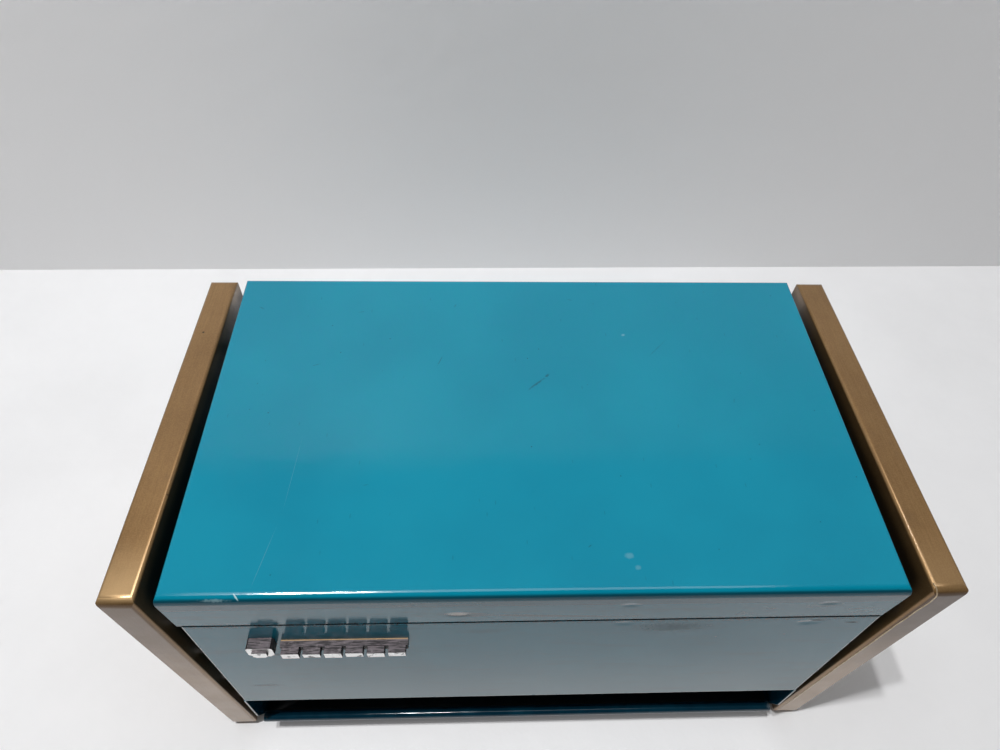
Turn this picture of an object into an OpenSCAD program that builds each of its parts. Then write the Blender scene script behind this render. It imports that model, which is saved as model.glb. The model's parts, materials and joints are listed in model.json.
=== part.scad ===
// Lidded sheet-steel chest: a flush hinged lid, one deep drawer with an overlay front panel,
// an open bay above a rolled bottom rail, and two boxed end frames standing off the case.
// Origin: on the table, midway between the end frames and midway along them.
// X is width, -Y is the front, +Z is up. Millimetres.

/* [Draw] */
// Sub-part to draw, or all of them

/* [Overall] */
// Width over both end frames
overall_w = 411; // [380:1:450]
// Depth of an end frame
frame_d = 217.6; // [206:1:236]
// Height of an end frame, without its pads
frame_h = 228; // [226:1:240]
// Height of the rubber pads
pad_h = 3; // [2:0.5:6]

/* [End frames] */
// Width of the face seen from the front and from above
frame_w = 17.5; // [14:0.5:20]
// Sheet thickness
frame_t = 1.2; // [1:0.1:1.4]
// Width of the return flange on the inner side
frame_return = 20; // [18:0.5:24]
// Radius of the four corners seen from the side
frame_corner_r = 5; // [2.5:0.5:8]
// Bend radius along the edges
frame_bend_r = 2.2; // [1.4:0.1:2.8]
// Diameter of the stand-off bushes
spacer_d = 9; // [8:0.5:10]

/* [Lid] */
// Width of the lid
lid_w = 358; // [357.2:0.2:358.4]
// How far its hinge lets the lid sit off the middle, negative to the left
lid_shift = -0.8; // [-0.8:0.1:0]
// Depth of the lid's rim below its top, at the front
lid_lip = 33.4; // [32:0.2:36]
// Rise of the top per millimetre of depth
lid_rise = 0.028; // [0.01:0.002:0.036]
// Radius of the top's front edge
lid_r = 4.6; // [2.6:0.2:6]
// Radius of the top's back edge
lid_back_r = 2; // [1.5:0.1:4]
// Bend radius of the side edges
lid_side_r = 2; // [1.5:0.1:3]
// Sheet thickness
lid_t = 1.0; // [0.8:0.1:1.2]

/* [Case] */
// Width of the case over its side panels
case_w = 357.2; // [356.4:0.2:357.6]
// Sheet thickness
case_t = 1.2; // [1:0.1:1.5]
// Height of the open bay's floor
bay_floor_z = 25.5; // [22:0.5:30]
// Height of the deck under the drawer
deck_z = 72.6; // [70:0.2:74]
// How far the deck's front edge is set back, as finger room under the panel
deck_set_back = 26; // [10:1:40]
// Height below which the side panels' front edges are cut back to the rail
side_nose_z = 40; // [32:1:50]
// Height of the till's floor
till_z = 166; // [162:0.5:168]

/* [Bottom rail] */
// Outside radius of the rail's rolled nosing
rail_r = 3.2; // [2.6:0.1:4]
// Width of the rail's return flange along its lower edge
rail_flange = 8; // [5:0.5:12]
// Height of the rail's lower edge
rail_z = 9.5; // [6:0.5:11]

/* [Front panel] */
// Width of the panel
panel_w = 355; // [350:0.5:357]
// Height of the panel along its face
panel_h = 122.9; // [121:0.1:123]
// Lean of the panel, bottom edge forward
panel_lean = 1.9; // [1:0.1:2]
// Sheet thickness
panel_t = 1.0; // [0.8:0.1:1.2]
// Width of the folded hem
hem_w = 8; // [6:0.5:10]

/* [Badge] */
// Length of the backing bar
bar_l = 66; // [60:1:76]
// Height of the backing bar
bar_h = 5.5; // [5:0.5:9]
// Thickness of the backing bar
bar_t = 3.6; // [3:0.2:5]
// Number of blocks on the bar
block_n = 6; // [4:1:7]
// Height of a block above the bar
block_t = 3.9; // [2:0.1:4]
// Width and height of the shield at the left
shield_w = 13.5; // [12:0.5:16]
shield_h = 10.9; // [9:0.1:13]

/* [Drawer] */
// Height of the drawer's sides
drawer_h = 78; // [60:1:80]
// Depth of the drawer box behind its front
drawer_d = 186; // [170:1:190]
// Sheet thickness
drawer_t = 1.0; // [0.8:0.1:1.2]
// Height of a slide's centre line
slide_z = 112; // [104:1:120]
// Length of a slide
slide_l = 188; // [180:1:190]

/* [Hinge] */
// Radius of the lid hinge's knuckles
knuckle_r = 2.4; // [2.2:0.1:2.8]
// Radius of the hinge pin
pin_r = 1.2; // [1:0.1:1.4]
// Running clearance of the pin in the lid's knuckles, on the radius
pin_gap = 0.05; // [0.03:0.01:0.09]
// Number of knuckles
knuckle_n = 15; // [11:2:19]

/* [Hidden] */
$fn = 48;
TEAL = [0.08, 0.45, 0.5];
BRONZE = [0.5, 0.37, 0.22];
STEEL = [0.72, 0.73, 0.75];
CHROME = [0.85, 0.85, 0.88];
RUBBER = [0.08, 0.08, 0.08];
FELT = [0.12, 0.13, 0.14];

top_z = pad_h + frame_h;
frame_x = overall_w / 2;
frame_in_x = frame_x - frame_w;
frame_y = frame_d / 2;
case_x = case_w / 2;
wall_x = case_x - case_t;
lid_x = lid_w / 2;
lid_front_y = -frame_y + 0.8;
back_y = frame_y - 4.9;
lid_front_z = top_z - 0.6;
rim_z = lid_front_z - lid_lip;
rim_gap = 0.7;
case_top_z = rim_z - rim_gap;
back_in_y = back_y - case_t;
lid_tilt = atan(lid_rise);
lid_d = (back_y - lid_front_y) * cos(lid_tilt) - lid_lip * sin(lid_tilt);
lid_h = lid_lip * cos(lid_tilt) + (back_y - lid_front_y) * sin(lid_tilt);

// The panel's own frame: origin at the middle of its bottom edge, on its outer face.
panel_z = case_top_z + 0.3 - panel_h * cos(panel_lean);
panel_y = -frame_y + 1.4 - panel_h * sin(panel_lean);
panel_x = panel_w / 2;
edge_gap = 2.4;
rim_set_in = 0.7;

slide_w = 10;
tray_x = wall_x - slide_w;
tray_z = 76.4;
tray_front_y = panel_y + 2.2;
tray_back_y = -frame_y + 6 + drawer_d;
slide_y = -frame_y + 8;

hinge_y = back_y + knuckle_r + 0.1;
hinge_z = rim_z - rim_gap / 2;
hinge_l = lid_w - 14;
leaf_t = 0.9;
leaf_h = 15;

shield_t = 7.1;
bar_z = panel_h - 24.7;
bar_x = -66.8 - bar_l;
shield_x = bar_x - 3.1 - shield_w;

spacer_z = [36, 80, 132, 180];
spacer_y = frame_y - frame_return + 6;
screw_r = 1.9;
screw_hole_r = 2.1;

// ---------- helpers ----------

// Extrude a profile drawn as (y, z) along X, from x0 to x1.
module along_x(x0, x1) {
  translate([x0, 0, 0]) rotate([90, 0, 90]) linear_extrude(x1 - x0) children();
}

// Extrude a profile drawn as (x, z) along Y, from y0 to y1.
module along_y(y0, y1) {
  translate([0, y1, 0]) rotate([90, 0, 0]) linear_extrude(y1 - y0) children();
}

module block(x, y, z) {
  translate([x[0], y[0], z[0]]) cube([x[1] - x[0], y[1] - y[0], z[1] - z[0]]);
}

module mirrored_x() {
  children();
  mirror([1, 0, 0]) children();
}

// Rectangle from [x0, y0] to [x1, y1] with true round corners.
module round_rect(a, b, r) {
  translate([a[0] + r, a[1]]) square([b[0] - a[0] - 2 * r, b[1] - a[1]]);
  translate([a[0], a[1] + r]) square([b[0] - a[0], b[1] - a[1] - 2 * r]);
  for (x = [a[0] + r, b[0] - r], y = [a[1] + r, b[1] - r]) translate([x, y]) circle(r);
}

// Children placed in the leaning panel's own frame.
module on_panel() {
  translate([0, panel_y, panel_z]) rotate([-panel_lean, 0, 0]) children();
}

// Y of a plane lying the given distance behind the panel's face, at height z.
function panel_face_y(z, behind = 0) =
  panel_y + behind / cos(panel_lean) + (z - panel_z) * tan(panel_lean);

// ---------- end frames ----------

module frame_solid(grow) {
  r = frame_corner_r - grow;
  b = frame_bend_r - grow;
  intersection() {
    along_x(frame_in_x + grow, frame_x - grow)
      round_rect([-frame_y + grow, pad_h + grow], [frame_y - grow, top_z - grow], r);
    along_y(-frame_y + grow, frame_y - grow)
      round_rect([frame_in_x + grow, pad_h + grow], [frame_x - grow, top_z - grow], b);
    translate([0, 0, pad_h + grow]) linear_extrude(frame_h - 2 * grow)
      round_rect([frame_in_x + grow, -frame_y + grow], [frame_x - grow, frame_y - grow], b);
  }
}

module end_frame() {
  m = frame_return;
  difference() {
    frame_solid(0);
    frame_solid(frame_t);
    along_x(frame_in_x - 1, frame_in_x + frame_t + 1)
      round_rect([-frame_y + m, pad_h + m], [frame_y - m, top_z - m], 5);
    spacer_places() translate([0, 0, -1]) cylinder(r = screw_hole_r, h = frame_t + 2);
  }
}

// Stand-off positions, turned so that +Z runs outward along +X from the return flange.
module spacer_places() {
  for (y = [-spacer_y, spacer_y], z = spacer_z)
    translate([frame_in_x, y, z]) rotate([0, 90, 0]) children();
}

module end_frame_right() color(BRONZE) end_frame();
module end_frame_left() color(BRONZE) mirror([1, 0, 0]) end_frame();

// Bushes that hold each end frame off its case side.
module frame_spacers() color(STEEL) mirrored_x()
  spacer_places() translate([0, 0, case_x - frame_in_x]) difference() {
    cylinder(d = spacer_d, h = frame_in_x - case_x);
    translate([0, 0, -1]) cylinder(r = screw_hole_r, h = 30);
  }

module frame_screws() color(STEEL) mirrored_x() spacer_places() {
  shank = frame_in_x + frame_t + 3 - wall_x;
  translate([0, 0, wall_x - frame_in_x]) cylinder(r = screw_r, h = shank);
  translate([0, 0, wall_x - frame_in_x - 1.4]) cylinder(r = 3.6, h = 1.4);
}

module frame_nuts() color(STEEL) mirrored_x() spacer_places() translate([0, 0, frame_t])
  difference() {
    cylinder(r = 3.7, h = 2.4, $fn = 6);
    translate([0, 0, -1]) cylinder(r = screw_r + 0.05, h = 5);
  }

module feet() color(RUBBER) mirrored_x() for (y = [-88, 88])
  translate([frame_x - frame_w / 2, y, 0]) linear_extrude(pad_h)
    round_rect([-6, -15], [6, 15], 5);

// ---------- case ----------

// The front edge is level with the panel's face below the panel, and tucks in behind it above.
module case_side() {
  z0 = rail_z + 1;
  cut_y = rail_back_y() - case_t;
  step_z = panel_z - 1;
  difference() {
    union() {
      along_x(wall_x, case_x) polygon([
        [cut_y, z0],
        [cut_y, bay_floor_z - 2],
        [panel_face_y(side_nose_z), side_nose_z],
        [panel_face_y(step_z), step_z],
        [panel_face_y(step_z) + edge_gap, step_z],
        [panel_face_y(case_top_z) + edge_gap, case_top_z],
        [back_y - case_t, case_top_z],
        [back_y - case_t, z0]
      ]);
      block([wall_x - 8, wall_x], [back_in_y - case_t, back_in_y], [z0, till_z - 2]);
    }
    spacer_places() translate([0, 0, -30]) cylinder(r = screw_hole_r, h = 60);
  }
}

module case_side_right() color(TEAL) case_side();
module case_side_left() color(TEAL) mirror([1, 0, 0]) case_side();

module case_back() color(TEAL) block([-case_x, case_x], [back_in_y, back_y], [rail_z + 1, case_top_z]);

// Upright strips inside the rim that the lid closes over. The side ones step in above the case.
module rim_coaming() color(TEAL) {
  x = wall_x - rim_set_in;
  y = [-frame_y + 6, back_in_y - 2];
  z = [case_top_z - 9, case_top_z + 5];
  mirrored_x() {
    block([wall_x - 1, wall_x], y, [z[0], case_top_z - 1]);
    block([x - 1, wall_x], y, [case_top_z - 2, case_top_z - 1]);
    block([x - 1, x], y, [case_top_z - 2, z[1]]);
  }
  block([-wall_x + 8, wall_x - 8], [back_in_y - 1, back_in_y], z);
}

module floor_pan() color(TEAL) {
  t = case_t;
  y0 = rail_back_y();
  block([-wall_x, wall_x], [y0, back_in_y - t], [bay_floor_z - t, bay_floor_z]);
  mirrored_x() block([wall_x - t, wall_x], [y0 + 4, back_in_y - t - 10], [rail_z + 3, bay_floor_z - t]);
}

// Where the rail's apron meets the floor pan.
function rail_back_y() = panel_face_y(bay_floor_z) + 0.4 + 2 * rail_r;

// Rolled nosing along the front of the bay, over an apron set back under it. The roll is an open
// curl, so its inside can drain.
module bottom_rail() color(TEAL) {
  t = case_t;
  y1 = rail_back_y();
  c = [y1 - rail_r, bay_floor_z + t - rail_r];
  along_x(-wall_x, wall_x) {
    difference() {
      translate(c) circle(rail_r);
      translate(c) circle(rail_r - t);
      translate([c[0] + 0.4, c[1] - rail_r - 1]) square([rail_r - t - 0.4, rail_r + 1]);
    }
    translate([y1 - t, rail_z]) square([t, bay_floor_z - rail_z]);
    translate([y1 - t, rail_z]) square([rail_flange, t]);
  }
}

module deck() color(TEAL) {
  y0 = -frame_y + deck_set_back;
  block([-wall_x, wall_x], [y0, back_in_y - case_t], [deck_z, deck_z + case_t]);
  block([-wall_x, wall_x], [y0, y0 + case_t], [deck_z - 9, deck_z]);
}

module bay_mat() color(RUBBER)
  block([-wall_x + 2, wall_x - 2], [rail_back_y() + 0.2, back_in_y - 4], [bay_floor_z, bay_floor_z + 1]);

module till_floor() color(TEAL) {
  y0 = -frame_y + 4.5;
  block([-wall_x, wall_x], [y0 + case_t, back_in_y], [till_z, till_z + 1]);
  mirrored_x() block([wall_x - 1, wall_x], [y0 + 9, back_in_y - 4], [till_z - 7, till_z]);
}

module till_liner() color(FELT)
  block([-wall_x + 2, wall_x - 2], [-frame_y + 8, back_in_y - 2], [till_z + 1, till_z + 3]);

// Cross rail behind the top of the front panel.
module upper_rail() color(TEAL) {
  y0 = -frame_y + 4.5;
  x = wall_x - rim_set_in;
  block([-wall_x, wall_x], [y0, y0 + case_t], [till_z - 6, case_top_z - 1]);
  block([-x, x], [y0, y0 + case_t], [case_top_z - 1, case_top_z + 5]);
  block([-wall_x, wall_x], [y0 + case_t, y0 + 8], [till_z - 6, till_z - 5]);
}

magnet_x = [-38, 38];
magnet_z = till_z + 12;

module magnet_housing() color(RUBBER) for (x = magnet_x) difference() {
  block([x - 17, x + 17], [-frame_y + 2.3, -frame_y + 4.5], [magnet_z - 5, magnet_z + 5]);
  block([x - 12, x + 12], [-frame_y + 1, -frame_y + 4.5], [magnet_z - 2.5, magnet_z + 2.5]);
}

module magnet_core() color(STEEL) for (x = magnet_x)
  block([x - 12, x + 12], [-frame_y + 2.2, -frame_y + 4.5], [magnet_z - 2.5, magnet_z + 2.5]);

// ---------- lid ----------

// Children placed in the lid's own frame: origin at the back of its rim, top sloping to the front.
module on_lid() {
  translate([0, back_y, rim_z]) rotate([lid_tilt, 0, 0]) children();
}

module lid_solid(grow) {
  x = lid_x - grow;
  y0 = -lid_d + grow;
  z1 = lid_h - grow;
  rf = lid_r - grow;
  rb = lid_back_r - grow;
  on_lid() translate([lid_shift, 0, 0]) intersection() {
    along_x(-x, x) {
      translate([y0, -20]) square([-grow - y0, z1 - rf + 20]);
      translate([y0 + rf, z1 - rf - 1]) square([-grow - rb - y0 - rf, rf + 1]);
      translate([-grow - rb - 1, -20]) square([rb + 1, z1 - rb + 20]);
      translate([y0 + rf, z1 - rf]) circle(rf);
      translate([-grow - rb, z1 - rb]) circle(rb);
    }
    along_y(y0, -grow) round_rect([-x, -20], [x, z1], lid_side_r - grow);
  }
}

module lid_shell() color(TEAL) difference() {
  lid_solid(0);
  lid_solid(lid_t);
  block([-200, 200], [-150, 150], [rim_z - 40, rim_z]);
}

// Hat-section rib under the lid, spot-welded to its skin.
module lid_stiffener() color(TEAL) on_lid() translate([0, -lid_d / 2, lid_h - lid_t]) {
  x = lid_x - 14;
  for (m = [0, 1]) mirror([0, m, 0]) {
    block([-x, x], [14, 24], [-1, 0]);
    block([-x, x], [14, 15], [-8, -1]);
  }
  block([-x, x], [-15, 15], [-9, -8]);
}

// Thin pads on the case's rim that the lid comes down on.
module lid_bumpers() color(RUBBER) mirrored_x() for (y = [-92, 70])
  block([wall_x, case_x - lid_shift + 0.4], [y, y + 22], [case_top_z, case_top_z + rim_gap - 0.1]);

// ---------- lid hinge ----------

seg = hinge_l / knuckle_n;

module knuckles(first) {
  for (i = [first : 2 : knuckle_n - 1])
    translate([-hinge_l / 2 + i * seg + 0.15, hinge_y, hinge_z]) rotate([0, 90, 0])
      cylinder(r = knuckle_r, h = seg - 0.3);
}

module knuckle_gaps(first) {
  for (i = [first : 2 : knuckle_n - 1])
    translate([-hinge_l / 2 + i * seg - 0.15, hinge_y, hinge_z]) rotate([0, 90, 0])
      cylinder(r = knuckle_r + 0.35, h = seg + 0.3);
}

module pin_bore(r) {
  translate([-hinge_l / 2 - 5, hinge_y, hinge_z]) rotate([0, 90, 0]) cylinder(r = r, h = hinge_l + 10);
}

rivet_n = 7;
function rivet_x(i) = -hinge_l / 2 + 18 + i * (hinge_l - 36) / (rivet_n - 1);

// Rivet places on the back face, +Z running outward along +Y.
module rivet_places(z) {
  for (i = [0 : rivet_n - 1]) translate([rivet_x(i), back_y, z]) rotate([-90, 0, 0]) children();
}

// The same on the lid's back face.
module lid_rivet_places(z) {
  on_lid() for (i = [0 : rivet_n - 1]) translate([rivet_x(i), 0, z]) rotate([-90, 0, 0]) children();
}

module hinge_leaf_case() color(STEEL) difference() {
  union() {
    knuckles(0);
    block([-hinge_l / 2, hinge_l / 2], [back_y, back_y + leaf_t], [hinge_z - leaf_h, hinge_z - 0.6]);
    for (i = [0 : 2 : knuckle_n - 1]) translate([-hinge_l / 2 + i * seg + 0.15, back_y, hinge_z - 1.4])
      cube([seg - 0.3, knuckle_r, 0.9]);
  }
  knuckle_gaps(1);
  pin_bore(pin_r);
  rivet_places(hinge_z - 9.5) translate([0, 0, -1]) cylinder(r = 1.5, h = 4);
}

module hinge_leaf_lid() color(STEEL) difference() {
  union() {
    knuckles(1);
    on_lid() block([-hinge_l / 2, hinge_l / 2], [0, leaf_t], [0.3, leaf_h]);
    for (i = [1 : 2 : knuckle_n - 1]) translate([-hinge_l / 2 + i * seg + 0.15, back_y, hinge_z + 0.5])
      cube([seg - 0.3, knuckle_r, 0.9]);
  }
  knuckle_gaps(0);
  pin_bore(pin_r + pin_gap);
  lid_rivet_places(9.5) translate([0, 0, -1]) cylinder(r = 1.5, h = 4);
}

module hinge_pin() color(STEEL)
  translate([-hinge_l / 2 + 0.2, hinge_y, hinge_z]) rotate([0, 90, 0]) cylinder(r = pin_r, h = hinge_l - 0.4);

module rivet() {
  cylinder(r = 1.45, h = leaf_t);
  translate([0, 0, leaf_t]) intersection() {
    cylinder(r = 2.6, h = 1.2);
    translate([0, 0, -2.6]) sphere(r = 3.7);
  }
}

module hinge_rivets_case() color(STEEL) rivet_places(hinge_z - 9.5) rivet();
module hinge_rivets_lid() color(STEEL) lid_rivet_places(9.5) rivet();

// ---------- lid stops ----------

stop_x = [-128, 128];
stop_w = 16;
stop_reach = 12.1;
stop_z = hinge_z - 1.2;

module lid_stop_brackets() color(STEEL) for (x = stop_x) {
  block([x - stop_w / 2, x + stop_w / 2], [back_y + leaf_t, back_y + leaf_t + 1.5], [hinge_z - 30, hinge_z - 4]);
  block([x - stop_w / 2, x + stop_w / 2], [back_y + leaf_t, back_y + stop_reach], [hinge_z - 5.5, hinge_z - 4]);
}

module lid_stop_pads() color(RUBBER) for (x = stop_x)
  block([x - stop_w / 2 + 2, x + stop_w / 2 - 2], [back_y + 6.5, back_y + stop_reach - 0.5], [hinge_z - 4, stop_z]);

// ---------- drawer slides ----------

// Slide sections as (u, v): u runs inward from the case side, v is height about the centre line.
module outer_section() {
  translate([0, -13.5]) square([1, 27]);
  for (m = [0, 1]) mirror([0, m]) {
    translate([0, 12.5]) square([9, 1]);
    translate([8, 10.8]) square([1, 2.7]);
  }
}

module mid_section() {
  translate([1.8, -12.1]) square([1, 24.2]);
  for (m = [0, 1]) mirror([0, m]) {
    translate([1.8, 11.1]) square([5.8, 1]);
    translate([6.6, 9]) square([1, 3.1]);
  }
}

module inner_section() {
  for (m = [0, 1]) mirror([0, m]) {
    translate([3.4, 7]) square([2.6, 3.6]);
    translate([5, 7]) square([5, 1]);
  }
  translate([9, -8]) square([1, 16]);
}

module slide_bar(y0, y1) {
  translate([wall_x, 0, slide_z]) mirror([1, 0, 0]) along_y(y0, y1) children();
}

module slide_outer() color(STEEL) mirrored_x() difference() {
  slide_bar(slide_y, slide_y + slide_l) outer_section();
  slide_screw_places() translate([0, 0, -1]) cylinder(r = 1.7, h = 5);
}

module slide_screw_places() {
  for (y = [slide_y + 30, slide_y + slide_l - 30])
    translate([wall_x, y, slide_z]) rotate([0, -90, 0]) children();
}

module slide_screws() color(STEEL) mirrored_x() slide_screw_places() {
  cylinder(r = 1.6, h = 1);
  translate([0, 0, 1]) cylinder(r = 3, h = 0.5);
}

module slide_mid_right() color(STEEL) slide_bar(slide_y + 1, slide_y + slide_l - 3) mid_section();
module slide_mid_left() color(STEEL) mirror([1, 0, 0]) slide_mid_right();
module slide_inner() color(STEEL) mirrored_x() slide_bar(slide_y + 0.5, slide_y + slide_l - 4) inner_section();

// ---------- drawer ----------

module drawer_tray() color(TEAL) difference() {
  t = drawer_t;
  z1 = tray_z + drawer_h;
  face = 2 * panel_t;
  along_x(-tray_x, tray_x) polygon([
    [panel_face_y(tray_z, face), tray_z],
    [panel_face_y(z1, face), z1],
    [tray_back_y, z1],
    [tray_back_y, tray_z]
  ]);
  along_x(-tray_x + t, tray_x - t) polygon([
    [panel_face_y(tray_z + t, face + t), tray_z + t],
    [panel_face_y(z1 + 1, face + t), z1 + 1],
    [tray_back_y - t, z1 + 1],
    [tray_back_y - t, tray_z + t]
  ]);
  mirrored_x() tray_rivet_places() translate([0, 0, -2]) cylinder(r = 1.5, h = 6);
  panel_screw_places() translate([0, 0, -1]) cylinder(r = 1.7, h = 5);
}

module tray_rivet_places() {
  for (y = [slide_y + 22, slide_y + slide_l - 26])
    translate([tray_x, y, slide_z]) rotate([0, -90, 0]) children();
}

module tray_rivets() color(STEEL) mirrored_x() tray_rivet_places() {
  cylinder(r = 1.45, h = drawer_t);
  translate([0, 0, drawer_t]) cylinder(r = 2.8, h = 0.8);
}

module drawer_liner() color(FELT)
  block([-tray_x + 2, tray_x - 2], [tray_front_y + 4, tray_back_y - 2],
        [tray_z + drawer_t, tray_z + drawer_t + 2]);

divider_x = [-56, 56];

module drawer_dividers() color(STEEL) for (x = divider_x)
  block([x - 0.5, x + 0.5], [tray_front_y + 6, tray_back_y - 2],
        [tray_z + drawer_t + 2, tray_z + drawer_h - 12]);

// ---------- front panel ----------

module front_panel() color(TEAL) difference() {
  on_panel() {
    block([-panel_x, panel_x], [0, panel_t], [0, panel_h]);
    mirrored_x() block([panel_x - hem_w, panel_x], [panel_t, 2 * panel_t], [0, panel_h]);
    block([-panel_x + hem_w, panel_x - hem_w], [panel_t, 2 * panel_t], [0, hem_w]);
    block([-panel_x + hem_w, panel_x - hem_w], [panel_t, 2 * panel_t], [panel_h - hem_w, panel_h]);
  }
  badge_stud_places() translate([0, 0, -4]) cylinder(r = stud_r + 0.1, h = 8);
}

module panel_screw_places() {
  on_panel() for (x = [-130, -45, 45, 130], z = [22, 74])
    translate([x, panel_t, z]) rotate([-90, 0, 0]) children();
}

module panel_screws() color(STEEL) panel_screw_places() {
  cylinder(r = 1.6, h = panel_t + drawer_t);
  translate([0, 0, panel_t + drawer_t]) cylinder(r = 3, h = 1.4);
}

module panel_bumpers() color(RUBBER) on_panel() for (x = [-150, 150])
  translate([x, 2 * panel_t, panel_h - hem_w / 2]) rotate([-90, 0, 0]) cylinder(d = 6, h = 1);

// ---------- badge ----------

stud_r = 1.2;
stud_l = 3.2;
stud_x = [bar_x + 14, bar_x + bar_l - 14, shield_x + shield_w / 2];

module badge_stud_places() {
  on_panel() for (x = stud_x) translate([x, 0, bar_z + bar_h / 2]) rotate([-90, 0, 0]) children();
}

module studs(list) {
  for (x = list) translate([x, 0, bar_z + bar_h / 2]) rotate([-90, 0, 0]) cylinder(r = stud_r, h = stud_l);
}

module badge_bar() color(CHROME) on_panel() {
  block([bar_x, bar_x + bar_l], [-bar_t, 0], [bar_z, bar_z + bar_h]);
  studs([stud_x[0], stud_x[1]]);
}

// Plain blocks in a row, alternately plain and stepped.
module badge_blocks() color(CHROME) on_panel() {
  pitch = bar_l / block_n;
  w = pitch - 2;
  for (i = [0 : block_n - 1]) translate([bar_x + i * pitch + 1, -bar_t, bar_z]) {
    low = i % 2 == 0 ? -0.4 : 0.5;
    high = i % 3 == 1 ? bar_h - 0.6 : bar_h;
    block([0, w], [-block_t, 0], [low, high]);
  }
}

// Six-sided shield with a raised inner tablet.
module badge_shield() color(CHROME) on_panel() {
  z0 = bar_z - 2.1;
  w = shield_w;
  h = shield_h;
  translate([shield_x, 0, z0]) {
    rotate([90, 0, 0]) linear_extrude(shield_t - 1.5)
      polygon([[0, 2.5], [2.5, 0], [w - 2.5, 0], [w, 2.5], [w, h - 1], [w - 1, h], [1, h], [0, h - 1]]);
    translate([0, -shield_t + 1.5, 0]) rotate([90, 0, 0]) linear_extrude(1.5)
      polygon([[3, 4], [4.5, 2.5], [w - 4.5, 2.5], [w - 3, 4], [w - 3, h - 2.5], [3, h - 2.5]]);
  }
  studs([stud_x[2]]);
}

module badge_nuts() color(STEEL) badge_stud_places() translate([0, 0, panel_t]) difference() {
  cylinder(r = 4, h = 0.8);
  translate([0, 0, -1]) cylinder(r = stud_r + 0.05, h = 4);
}

// ---------- draw ----------

case_side_left();
case_side_right();
case_back();
rim_coaming();
floor_pan();
bottom_rail();
deck();
bay_mat();
till_floor();
till_liner();
upper_rail();
magnet_housing();
magnet_core();
end_frame_left();
end_frame_right();
frame_spacers();
frame_screws();
frame_nuts();
feet();
hinge_leaf_case();
hinge_pin();
hinge_rivets_case();
slide_outer();
slide_screws();
lid_bumpers();
lid_stop_brackets();
lid_stop_pads();
lid_shell();
lid_stiffener();
hinge_leaf_lid();
hinge_rivets_lid();
slide_mid_left();
slide_mid_right();
drawer_tray();
drawer_liner();
drawer_dividers();
slide_inner();
tray_rivets();
front_panel();
panel_screws();
panel_bumpers();
badge_bar();
badge_blocks();
badge_shield();
badge_nuts();
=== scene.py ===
"""Lidded sheet-steel chest: finishes, dents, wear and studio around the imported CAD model."""
import json
import math

import bmesh
import bpy
from mathutils import Matrix, Vector

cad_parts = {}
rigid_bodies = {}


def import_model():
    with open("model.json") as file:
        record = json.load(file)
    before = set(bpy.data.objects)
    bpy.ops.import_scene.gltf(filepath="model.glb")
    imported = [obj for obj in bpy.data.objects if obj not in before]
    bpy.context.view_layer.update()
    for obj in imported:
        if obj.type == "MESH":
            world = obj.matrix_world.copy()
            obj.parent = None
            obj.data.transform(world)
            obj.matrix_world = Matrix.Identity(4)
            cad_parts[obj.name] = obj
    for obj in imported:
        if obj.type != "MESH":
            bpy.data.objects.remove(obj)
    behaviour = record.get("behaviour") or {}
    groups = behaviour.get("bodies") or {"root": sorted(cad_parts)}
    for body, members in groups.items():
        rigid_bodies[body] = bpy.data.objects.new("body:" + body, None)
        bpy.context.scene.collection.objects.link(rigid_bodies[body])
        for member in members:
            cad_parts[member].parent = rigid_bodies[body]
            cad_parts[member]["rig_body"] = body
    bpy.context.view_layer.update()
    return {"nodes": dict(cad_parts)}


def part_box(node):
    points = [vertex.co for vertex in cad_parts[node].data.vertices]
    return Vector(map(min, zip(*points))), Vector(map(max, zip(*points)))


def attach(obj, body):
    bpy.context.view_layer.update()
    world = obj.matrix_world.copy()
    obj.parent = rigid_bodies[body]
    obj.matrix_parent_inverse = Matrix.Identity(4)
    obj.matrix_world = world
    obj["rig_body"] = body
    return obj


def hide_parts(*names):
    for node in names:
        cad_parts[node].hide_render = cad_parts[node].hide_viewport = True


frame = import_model()
NODES = frame["nodes"]
MM = 0.001


def near_far(node):
    """A node's lowest and highest corners, in millimetres."""
    low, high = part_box(node)
    return low / MM, high / MM


LID_LOW, LID_HIGH = near_far("lid_shell")
PANEL_LOW, PANEL_HIGH = near_far("front_panel")
FRAME_LOW, FRAME_HIGH = near_far("end_frame_right")
BAR_LOW, BAR_HIGH = near_far("badge_bar")
SHIELD_HIGH = near_far("badge_shield")[1]
CASE_HALF = round(PANEL_HIGH.x, 3)
LID_TOP_SLOPE = 0.028
LID_FRONT_TOP = LID_HIGH.z - LID_TOP_SLOPE * (LID_HIGH.y - LID_LOW.y)

# ---------------------------------------------------------------- camera

CAMERA_AT = (-0.0318, -0.22606, 0.5375)
CAMERA_RIGHT = Vector((0.999276, -0.02551, 0.028244))
CAMERA_UP = Vector((0.001734, 0.771857, 0.635793))
CAMERA_LENS = 24.117
SENSOR = 36.0


def make_camera():
    data = bpy.data.cameras.new("camera")
    data.sensor_width = SENSOR
    data.lens = CAMERA_LENS
    data.clip_start = 0.01
    cam = bpy.data.objects.new("camera", data)
    back = CAMERA_RIGHT.cross(CAMERA_UP).normalized()
    up = back.cross(CAMERA_RIGHT).normalized()
    turn = Matrix((CAMERA_RIGHT.normalized(), up, back)).transposed().to_4x4()
    cam.matrix_world = Matrix.Translation(CAMERA_AT) @ turn
    scene = bpy.context.scene
    scene.collection.objects.link(cam)
    scene.camera = cam
    scene.view_settings.view_transform = "Standard"
    scene.view_settings.look = "None"
    scene.view_settings.exposure = 0.0
    scene.view_settings.gamma = 1.0


# ---------------------------------------------------------------- node graphs


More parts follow.
